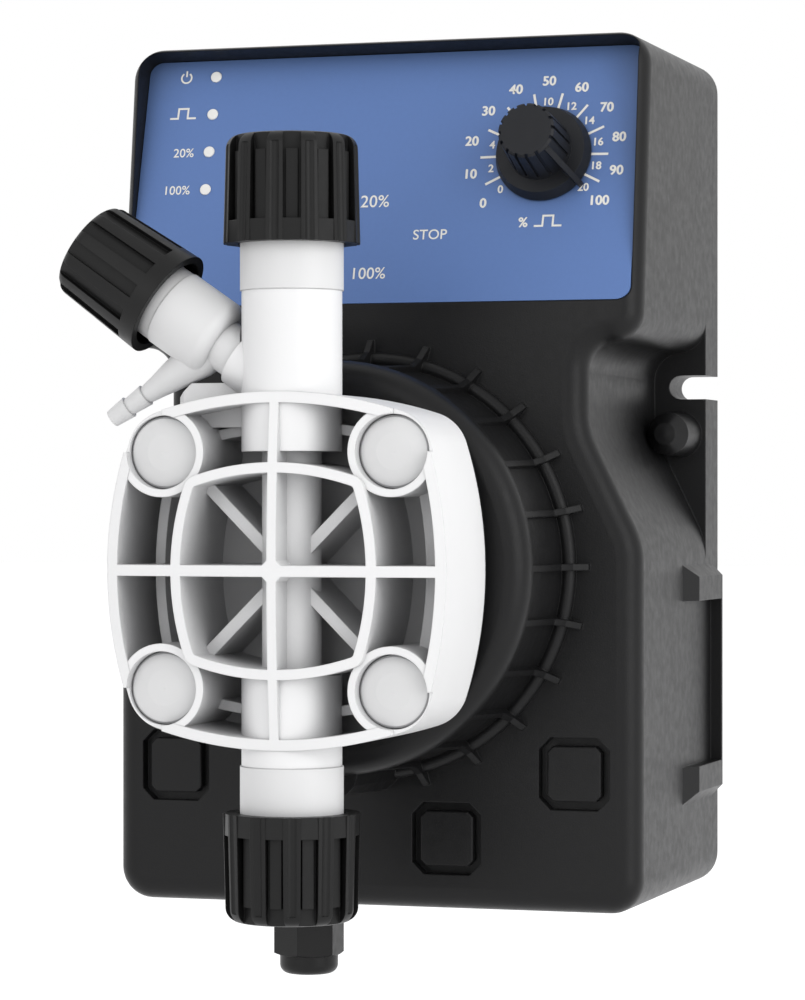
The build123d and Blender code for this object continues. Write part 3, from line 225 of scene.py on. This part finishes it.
# Painted shade in all three whites; the valve parts and screw caps also get a greyer white than the head
# (0.75 and 0.72 against 0.86), painted shade for their places under the pipe and in recesses.
head_white = white_plastic("head white")
small_white = white_plastic("valve white", reach=0.006, painted_shade=(0.4, 0.4, 0.405), pale=0.75)
cap_white = white_plastic("cap white", reach=0.004, painted_shade=(0.4, 0.4, 0.41), edge=0.0003, pale=0.72)
blue = panel_blue("panel blue")
steel = metal("steel", (0.56, 0.56, 0.57), 0.35)
bright = metal("stainless", (0.64, 0.64, 0.65), 0.25)
copper = metal("winding", (0.7, 0.28, 0.14), 0.35, (1.0, 60.0, 1.0))
bronze = metal("bronze", (0.55, 0.36, 0.16), 0.4)
nylon = moulded("nylon", (0.6, 0.56, 0.45), 0.45, grain=0.05)
board_green = moulded("board", (0.03, 0.16, 0.07), 0.35, grain=0.05)
ceramic = moulded("ceramic", (0.82, 0.82, 0.8), 0.15)
natural = moulded("natural plastic", (0.72, 0.73, 0.72), 0.3, grain=0.05)

FINISH = {
    case_black: ["front_housing", "rear_cover", "blanking_plugs", "head_backplate"],
    nut_black: ["discharge_nut", "suction_nut", "bleed_knob", "selector_switch", "selector_rocker"],
    knob_black: ["speed_knob"],
    gland_black: ["gland_body", "gland_nut", "gland_locknut"],
    rubber: ["case_seal", "gland_seal", "rear_bumper", "discharge_valve_seal", "suction_valve_seal",
             "bleed_spindle_seal"],
    head_white: ["pump_head"],
    small_white: ["discharge_valve_body", "suction_valve_body", "bleed_valve_body", "bleed_spindle",
                  "discharge_nozzle", "suction_nozzle", "discharge_clamp_ring", "suction_clamp_ring"],
    cap_white: ["screw_caps"],
    blue: ["control_panel"],
    steel: ["solenoid_yoke", "pole_plate", "armature", "speed_potentiometer", "potentiometer_shaft"],
    bright: ["cover_screws", "board_screws", "head_screws", "push_rod", "return_spring", "diaphragm_insert"],
    copper: ["solenoid_coil"],
    bronze: ["rod_bushing"],
    nylon: ["coil_bobbin", "diaphragm"],
    board_green: ["circuit_board"],
    ceramic: ["discharge_valve_ball", "suction_valve_ball"],
    natural: ["discharge_valve_seat", "suction_valve_seat"],
}
for mat, names in FINISH.items():
    for name in names:
        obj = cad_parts[name]
        obj.data.materials.clear()
        obj.data.materials.append(mat)
        for poly in obj.data.polygons:
            poly.material_index = 0


def printed(name, colour, rough=0.5):
    """Ink: slightly uneven in tone."""
    mat, nodes, links, bsdf, co = new_material(name)
    cloud = noise(nodes, links, co, 1200.0, 2.0)
    thin = tuple(c * 0.93 for c in colour)
    links.new(blend_colours(nodes, links, cloud, thin, colour), bsdf.inputs["Base Color"])
    bsdf.inputs["Roughness"].default_value = rough
    return mat


ink = printed("white ink", (0.86, 0.84, 0.79))
lamp = printed("lamp lens", (0.9, 0.89, 0.86), 0.25)
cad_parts["indicator_lights"].data.materials.clear()
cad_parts["indicator_lights"].data.materials.append(lamp)

# ------------------------------------------------------------------ print on the panel
TILT = radians(15)          # the panel leans back by this
BEZEL_TILT = radians(7)     # and the strip of case below it by this
BEZEL_LEAD = 6.3
CASE_FRONT = -85.9
PANEL_FOOT = 149.0
FOOT = at(0, CASE_FRONT + BEZEL_LEAD * tan(BEZEL_TILT), PANEL_FOOT)
PANEL = Matrix((
    (1, 0, 0, FOOT.x),
    (0, sin(TILT), -cos(TILT), FOOT.y),
    (0, cos(TILT), sin(TILT), FOOT.z),
    (0, 0, 0, 1),
))
DIAL = (41.2, 37.6)         # the dial's axis, from the middle of the panel's foot
INK_LIFT = 0.04             # the print stands this far off the panel


def on_panel(obj, x=0.0, up=0.0, out=INK_LIFT):
    obj.matrix_world = PANEL @ Matrix.Translation((x * MM, up * MM, out * MM))
    bpy.context.scene.collection.objects.link(obj)
    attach(obj, "pump")
    return obj


CAP_SHARE = 0.72            # height of a capital over the font's size
STROKE_SWELL = 0.03
LAYER = 0.002               # between the copies of a thickened word


def word(name, text, x, up, height, weight=0.0):
    """Printed word; weight thickens its strokes by printing it again a little to each side."""
    curve = bpy.data.curves.new(name, "FONT")
    curve.body = text
    curve.size = height * MM / CAP_SHARE
    curve.align_x = "CENTER"
    curve.align_y = "CENTER"
    curve.offset = STROKE_SWELL * MM
    curve.space_character = 1.03
    curve.materials.append(ink)
    places = [(0, 0)]
    if weight:
        places = [(-weight, 0), (weight, 0), (0, -weight * 0.7), (0, weight * 0.7)]
    for i, (dx, dy) in enumerate(places):
        copy = bpy.data.objects.new("%s_%d" % (name, i), curve)
        on_panel(copy, x + dx, up + dy, INK_LIFT + LAYER * i)


MITRE_LIMIT = 0.3


def strokes(name, lines, width, place=(0.0, 0.0)):
    """Flat mitred print lines, each a list of (x, up) points in millimetres."""
    verts, faces = [], []
    for points in lines:
        pts = [Vector((p[0], p[1])) for p in points]
        left, right = [], []
        for i, p in enumerate(pts):
            before = (p - pts[i - 1]).normalized() if i else None
            after = (pts[i + 1] - p).normalized() if i + 1 < len(pts) else None
            if before is None:
                before = after
            if after is None:
                after = before
            n1 = Vector((-before.y, before.x))
            n2 = Vector((-after.y, after.x))
            mitre = (n1 + n2).normalized()
            reach = width / 2 / max(MITRE_LIMIT, mitre.dot(n1))
            left.append(p + mitre * reach)
            right.append(p - mitre * reach)
        base = len(verts)
        for l, r in zip(left, right):
            verts += [(l.x * MM, l.y * MM, 0), (r.x * MM, r.y * MM, 0)]
        for i in range(len(pts) - 1):
            a = base + 2 * i
            faces.append((a, a + 1, a + 3, a + 2))
    mesh = bpy.data.meshes.new(name)
    mesh.from_pydata(verts, [], faces)
    mesh.materials.append(ink)
    mesh.update()
    obj = bpy.data.objects.new(name, mesh)
    return on_panel(obj, *place)


# dial scale: large figures outside, small figures inside, all but 6 and 8, and a line between
# each two
SCALE_START = -130
SCALE_STEP = 26
FIGURE_RADIUS = 19.2
SMALL_RADIUS = 13.75
TICK_RADII = (11.9, 16.3)


def round_dial(radius, turn):
    """A place on the panel at this radius round the dial, clockwise from the top."""
    return DIAL[0] + radius * sin(turn), DIAL[1] + radius * cos(turn)


for i in range(11):
    turn = radians(SCALE_START + SCALE_STEP * i)
    word("dial_figure_%d" % (10 * i), str(10 * i), *round_dial(FIGURE_RADIUS, turn), 2.45, 0.1)
    if i not in (3, 4):
        word("dial_small_%d" % (2 * i), str(2 * i), *round_dial(SMALL_RADIUS, turn), 2.0, 0.06)
ticks = []
for i in range(10):
    turn = radians(SCALE_START + SCALE_STEP * (i + 0.5))
    ticks.append([(r * sin(turn), r * cos(turn)) for r in TICK_RADII])
strokes("dial_lines", ticks, 0.62, DIAL)
PULSE = [(-3.5, -1.3), (-1.35, -1.3), (-1.25, 1.3), (1.3, 1.3), (1.25, -1.3), (3.5, -1.3)]
word("percent_sign", "%", 37.1, 20.0, 2.5, 0.07)
strokes("pulse_sign_dial", [PULSE], 0.5, (43.4, 20.4))

# labels of the lights
strokes("pulse_sign_light", [PULSE], 0.5, (-55.05, 51.53))
word("light_label_20", "20%", -53.9, 40.75, 2.35)
word("light_label_100", "100%", -54.85, 30.75, 2.35)
RING_RADIUS = 1.35
RING_GAP = 35               # half the gap at the ring's top, in degrees
RING_STEPS = 20
ring = []
for k in range(RING_STEPS + 1):
    turn = radians(RING_GAP + (360 - 2 * RING_GAP) * k / RING_STEPS)
    ring.append((RING_RADIUS * sin(turn), RING_RADIUS * cos(turn)))
strokes("power_sign", [ring, [(0, 0.3), (0, 1.9)]], 0.45, (-55.1, 61.2))

# labels of the selector
word("selector_label_20", "20%", -1.6, 26.4, 3.2)
word("selector_label_stop", "STOP", 13.4, 17.4, 2.6)
word("selector_label_100", "100%", -1.9, 7.6, 3.0)

# ------------------------------------------------------------------ surroundings
FLOOR_DROP = 0.12           # the pump hangs on a wall, this far over the floor
FLOOR_COLOUR = (0.8, 0.8, 0.8)
FLOOR_LIFT = 0.4
FLOOR_SIDE = 6.0            # it reaches this far to each side
FLOOR_FRONT = -4.0
FLOOR_BACK = 12.0


def seen_directly(nodes, links):
    """1 for rays from the camera, a mirror or glass, and 0 for rays that carry light."""
    path = nodes.new("ShaderNodeLightPath")
    value = path.outputs["Is Camera Ray"]
    for other in ("Is Glossy Ray", "Is Transmission Ray"):
        top = nodes.new("ShaderNodeMath")
        top.operation = "MAXIMUM"
        links.new(value, top.inputs[0])
        links.new(path.outputs[other], top.inputs[1])
        value = top.outputs["Value"]
    return value


def floor_material():
    """Pale floor: a diffuse sheet, lifted towards white where it is seen."""
    mat = bpy.data.materials.new("floor")
    mat.use_nodes = True
    nodes, links = mat.node_tree.nodes, mat.node_tree.links
    nodes.clear()
    out = nodes.new("ShaderNodeOutputMaterial")
    both = nodes.new("ShaderNodeAddShader")
    sheet = nodes.new("ShaderNodeBsdfDiffuse")
    sheet.inputs["Color"].default_value = (*FLOOR_COLOUR, 1)
    glow = nodes.new("ShaderNodeEmission")
    links.new(span(nodes, links, seen_directly(nodes, links), 0.0, FLOOR_LIFT), glow.inputs["Strength"])
    links.new(sheet.outputs["BSDF"], both.inputs[0])
    links.new(glow.outputs["Emission"], both.inputs[1])
    links.new(both.outputs["Shader"], out.inputs["Surface"])
    return mat


DIM = 0.72
BRIGHT = 1.2
world = bpy.data.worlds.new("studio")
bpy.context.scene.world = world
world.use_nodes = True
nodes, links = world.node_tree.nodes, world.node_tree.links
nodes.clear()
out = nodes.new("ShaderNodeOutputWorld")
mix = nodes.new("ShaderNodeMixShader")
seen = nodes.new("ShaderNodeBackground")
seen.inputs["Color"].default_value = (1, 1, 1, 1)
seen.inputs["Strength"].default_value = 1.0
lit = nodes.new("ShaderNodeBackground")
lit.inputs["Color"].default_value = (0.99, 0.99, 1.0, 1)
# the light on the pump is dim in front of it and bright behind it
sky = nodes.new("ShaderNodeTexCoord")
split = nodes.new("ShaderNodeSeparateXYZ")
links.new(sky.outputs["Generated"], split.inputs["Vector"])
links.new(span(nodes, links, split.outputs["Y"], DIM, BRIGHT, -0.4, 0.6), lit.inputs["Strength"])
links.new(seen_directly(nodes, links), mix.inputs["Fac"])
links.new(lit.outputs["Background"], mix.inputs[1])
links.new(seen.outputs["Background"], mix.inputs[2])
links.new(mix.outputs["Shader"], out.inputs["Surface"])

lowest = cad_box[0][2]
floor_mesh = bpy.data.meshes.new("floor")
corners = [
    (-FLOOR_SIDE, FLOOR_FRONT, 0), (FLOOR_SIDE, FLOOR_FRONT, 0),
    (FLOOR_SIDE, FLOOR_BACK, 0), (-FLOOR_SIDE, FLOOR_BACK, 0),
]
floor_mesh.from_pydata(corners, [], [(0, 1, 2, 3)])
floor_mesh.materials.append(floor_material())
floor = bpy.data.objects.new("floor", floor_mesh)
floor.location = (0, 0, lowest - FLOOR_DROP)
bpy.context.scene.collection.objects.link(floor)


def softbox(name, place, aim, width, height, power, colour=(1, 1, 1)):
    data = bpy.data.lights.new(name, "AREA")
    data.shape = "RECTANGLE"
    data.size = width
    data.size_y = height
    data.energy = power
    data.color = colour
    obj = bpy.data.objects.new(name, data)
    obj.location = place
    obj.rotation_euler = (Vector(aim) - Vector(place)).to_track_quat("-Z", "Y").to_euler()
    bpy.context.scene.collection.objects.link(obj)
    return obj


PUMP_MIDDLE = (0, -0.08, 0)
softbox("key", (1.25, -0.75, 0.35), PUMP_MIDDLE, 0.9, 1.2, 7.1)
softbox("front", (-0.25, -1.6, 0.45), PUMP_MIDDLE, 1.1, 1.1, 3.4)
